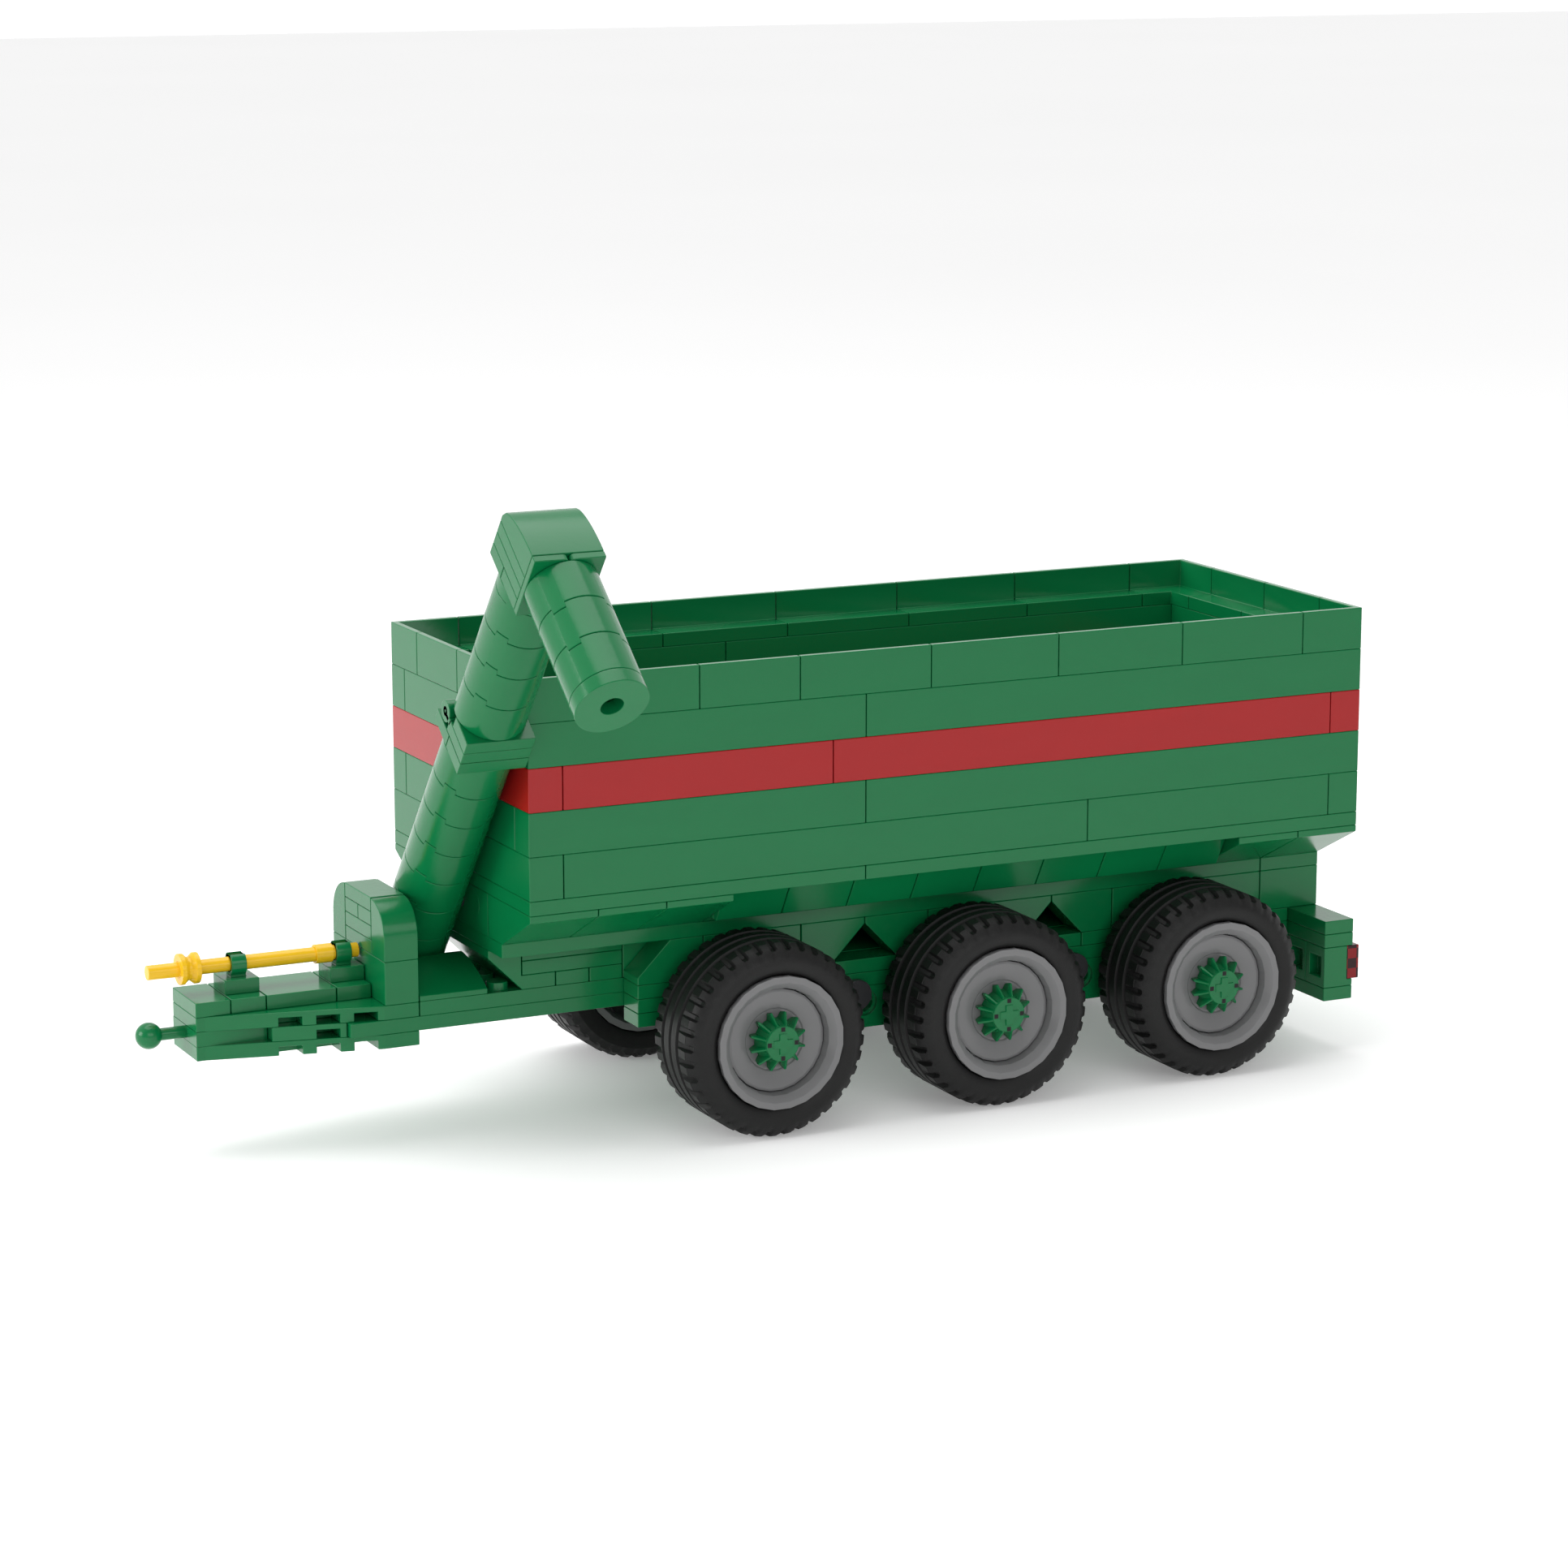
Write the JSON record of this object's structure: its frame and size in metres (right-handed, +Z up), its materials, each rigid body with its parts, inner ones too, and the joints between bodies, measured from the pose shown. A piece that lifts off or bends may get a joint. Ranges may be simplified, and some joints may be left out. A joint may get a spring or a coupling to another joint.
{
  "type": "grain cart",
  "caption": "Stud-brick scale model of a grain cart: open red-striped hopper, wheeled chassis, drawbar with drive shaft, and a folding corner auger with a side spout.",
  "frame": {"origin": "centre of the hitch ball at the tip of the drawbar", "axes": "+X from the hitch to the tail, +Z up, -Y the side that the auger leans to; the ground is at z = -27.2 mm"},
  "size_m": [0.2845, 0.1559, 0.1457],
  "materials": {
    "green": "gloss moulded green",
    "red": "gloss moulded red",
    "yellow": "gloss moulded yellow",
    "rim_grey": "gloss moulded dark grey",
    "dark_grey": "gloss moulded dark grey",
    "lamp": "clear red",
    "tyre": "matt rubber"
  },
  "bodies": {
    "chassis": {"rim_panels_near": "green", "rim_panels_far": "green", "rim_panels_ends": "green", "wall_course_2": "green", "wall_stripe": "red", "wall_course_4": "green", "wall_course_5": "green", "floor_plates": "green", "slopes_front": "green", "slopes_rear": "green", "side_slopes_near": "green", "side_slopes_far": "green", "side_brackets": "green", "core_bricks": "green", "pivot_brick": "green", "pivot_pins": "green", "auger_pivot_pin": "dark_grey", "deck_plates": "green", "front_block": "green", "front_plates": "green", "spine_upper": "green", "spine_lower": "green", "wedge_upper": "green", "wedge_middle": "green", "wedge_lower": "green", "hitch_ball": "green", "tongue_tiles": "green", "clip_plates": "green", "gearbox_base": "green", "gearbox_caps": "green", "gearbox_plates": "green", "shaft_cover": "green", "frame_upper_near": "green", "frame_upper_far": "green", "frame_plates": "green", "frame_beams": "green", "frame_pins": "dark_grey", "rear_block": "green", "bumper_plates": "green", "bumper_bricks": "green", "tail_lamps": "lamp"},
    "axle_1": {"axles_rod_1": "green", "rims_1": "rim_grey", "tyres_1": "tyre"},
    "axle_2": {"axles_rod_2": "green", "rims_2": "rim_grey", "tyres_2": "tyre"},
    "axle_3": {"axles_rod_3": "green", "rims_3": "rim_grey", "tyres_3": "tyre"},
    "drive": {"drive_shaft": "yellow", "drive_bush": "yellow", "drive_sleeve": "yellow"},
    "auger_lower": {"auger_lower_tube": "green", "collar_lower": "green"},
    "auger_upper": {"collar_upper": "green", "auger_upper_tube": "green", "head_block": "green", "head_cap": "green", "spout_tube": "green"}
  },
  "joints": [
    {"name": "axle_1_spin", "type": "hinge", "parent": "chassis", "child": "axle_1", "pos_m": [0.128, 0, -0.0054], "axis": [0, 1, 0], "continuous": true},
    {"name": "axle_2_spin", "type": "hinge", "parent": "chassis", "child": "axle_2", "pos_m": [0.184, 0, -0.0054], "axis": [0, 1, 0], "continuous": true},
    {"name": "axle_3_spin", "type": "hinge", "parent": "chassis", "child": "axle_3", "pos_m": [0.24, 0, -0.0054], "axis": [0, 1, 0], "continuous": true},
    {"name": "drive_spin", "type": "hinge", "parent": "chassis", "child": "drive", "pos_m": [0.02, 0, 0.01385], "axis": [1, 0, 0], "continuous": true},
    {"name": "auger_swing", "type": "hinge", "parent": "chassis", "child": "auger_lower", "pos_m": [0.064, 0, 0.0234], "axis": [1, 0, 0], "range_deg": [0, 25]},
    {"name": "auger_fold", "type": "hinge", "parent": "auger_lower", "child": "auger_upper", "pos_m": [0.064, -0.03338, 0.07193], "axis": [-1, 0, 0], "range_deg": [0, 60]}
  ]
}
